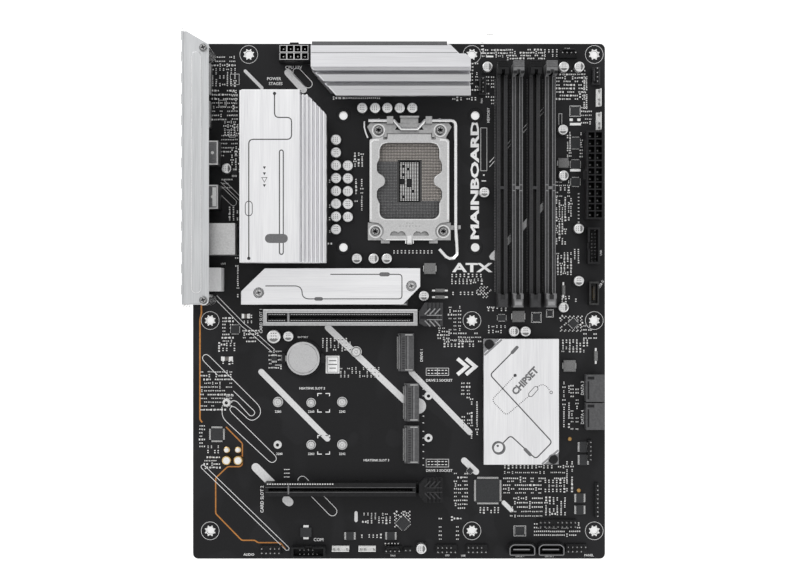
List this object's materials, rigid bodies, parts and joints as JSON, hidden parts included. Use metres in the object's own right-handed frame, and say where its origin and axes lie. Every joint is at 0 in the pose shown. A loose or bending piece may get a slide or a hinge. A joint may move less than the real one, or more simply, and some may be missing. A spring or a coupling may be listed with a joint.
{
  "type": "computer motherboard",
  "caption": "Full-size desktop motherboard with processor socket, memory and expansion slots, heatsinks and a rear port shield.",
  "frame": {"origin": "centre of the board's underside, on the plane where it rests on the case standoffs", "axes": "+X from the rear ports to the front edge, +Y towards the processor power socket end, +Z out of the component side"},
  "size_m": [0.2467, 0.3056, 0.0439],
  "materials": {
    "laminate": "satin black solder mask over glass-fibre laminate",
    "dark_steel": "dark plated steel",
    "socket_plastic": "dark grey moulded plastic",
    "steel": "plated steel",
    "plate_steel": "nickel-plated steel, satin",
    "lever_steel": "bright plated wire",
    "screw_steel": "bright plated screw",
    "silver_aluminium": "brushed and anodised, silver",
    "shield_steel": "brushed silver sheet",
    "cell_steel": "brushed stainless cell case",
    "black_plastic": "black glass-filled plastic",
    "grey_plastic": "grey glass-filled plastic"
  },
  "bodies": {
    "board": {"pcb": "laminate", "ilm_backplate": "dark_steel", "cpu_socket": "socket_plastic", "ilm_frame": "steel", "ilm_screw_1": "screw_steel", "ilm_screw_2": "screw_steel", "ilm_screw_3": "screw_steel", "ilm_screw_4": "screw_steel", "vrm_heatsink_left": "silver_aluminium", "vrm_heatsink_top": "silver_aluminium", "m2_heatsink": "silver_aluminium", "m2_heatsink_screw_1": "screw_steel", "m2_heatsink_screw_2": "screw_steel", "chipset_heatsink": "silver_aluminium", "chipset_package": "socket_plastic", "chipset_pin_1": "black_plastic", "chipset_pin_2": "black_plastic", "io_shield": "shield_steel", "io_pillar_1": "steel", "io_pillar_2": "steel", "io_screw_1": "screw_steel", "io_screw_2": "screw_steel", "display_port": "steel", "hdmi_port": "steel", "usb_stack_1": "steel", "usb_stack_2": "steel", "lan_usb_stack": "steel", "audio_jacks": "black_plastic", "button_switch": "black_plastic", "pcie_slot_1": "grey_plastic", "pcie_slot_1_shell": "shield_steel", "pcie_slot_2": "black_plastic", "atx_power_24pin": "black_plastic", "cpu_power_8pin": "black_plastic", "usb_header": "black_plastic", "usb_c_header": "steel", "com_header": "black_plastic", "sata_port_1": "black_plastic", "sata_port_2": "black_plastic", "sata_port_3": "black_plastic", "sata_port_4": "black_plastic", "m2_socket_1": "black_plastic", "m2_socket_2": "black_plastic", "m2_socket_3": "black_plastic", "m2_socket_4": "black_plastic", "coin_cell": "cell_steel", "coin_cell_holder": "black_plastic", "dimm_slot_1": "black_plastic", "dimm_slot_2": "grey_plastic", "dimm_slot_3": "black_plastic", "dimm_slot_4": "grey_plastic"},
    "load_plate": {"load_plate": "plate_steel"},
    "load_lever": {"load_lever": "lever_steel"},
    "memory_latch_1": {"dimm_latch_1": "black_plastic"},
    "memory_latch_2": {"dimm_latch_2": "grey_plastic"},
    "memory_latch_3": {"dimm_latch_3": "black_plastic"},
    "memory_latch_4": {"dimm_latch_4": "grey_plastic"},
    "card_latch_1": {"pcie_latch_1": "grey_plastic"},
    "card_latch_2": {"pcie_latch_2": "black_plastic"},
    "rear_button": {"rear_button": "socket_plastic"}
  },
  "joints": [
    {"name": "load_lever_hinge", "type": "hinge", "parent": "board", "child": "load_lever", "pos_m": [0.0061, 0.1062, 0.0074], "axis": [-1, 0, 0], "range_deg": [0, 110]},
    {"name": "load_plate_hinge", "type": "hinge", "parent": "board", "child": "load_plate", "pos_m": [0.0061, 0.098, 0.0067], "axis": [-1, 0, 0], "range_deg": [0, 100]},
    {"name": "memory_latch_1_hinge", "type": "hinge", "parent": "board", "child": "memory_latch_1", "pos_m": [0.0604, 0.1364, 0.0052], "axis": [-1, 0, 0], "range_deg": [0, 30]},
    {"name": "memory_latch_2_hinge", "type": "hinge", "parent": "board", "child": "memory_latch_2", "pos_m": [0.0694, 0.1364, 0.0052], "axis": [-1, 0, 0], "range_deg": [0, 30]},
    {"name": "memory_latch_3_hinge", "type": "hinge", "parent": "board", "child": "memory_latch_3", "pos_m": [0.0795, 0.1364, 0.0052], "axis": [-1, 0, 0], "range_deg": [0, 30]},
    {"name": "memory_latch_4_hinge", "type": "hinge", "parent": "board", "child": "memory_latch_4", "pos_m": [0.0887, 0.1364, 0.0052], "axis": [-1, 0, 0], "range_deg": [0, 30]},
    {"name": "card_latch_1_hinge", "type": "hinge", "parent": "board", "child": "card_latch_1", "pos_m": [0.0134, -0.00945, 0.0048], "axis": [0, 1, 0], "range_deg": [0, 18]},
    {"name": "card_latch_2_hinge", "type": "hinge", "parent": "board", "child": "card_latch_2", "pos_m": [0.0134, -0.1102, 0.0048], "axis": [0, 1, 0], "range_deg": [0, 18]},
    {"name": "rear_button_slide", "type": "slide", "parent": "board", "child": "rear_button", "axis": [1, 0, 0], "range_m": [0, 0.0008], "stiffness_N_per_m": 400}
  ]
}
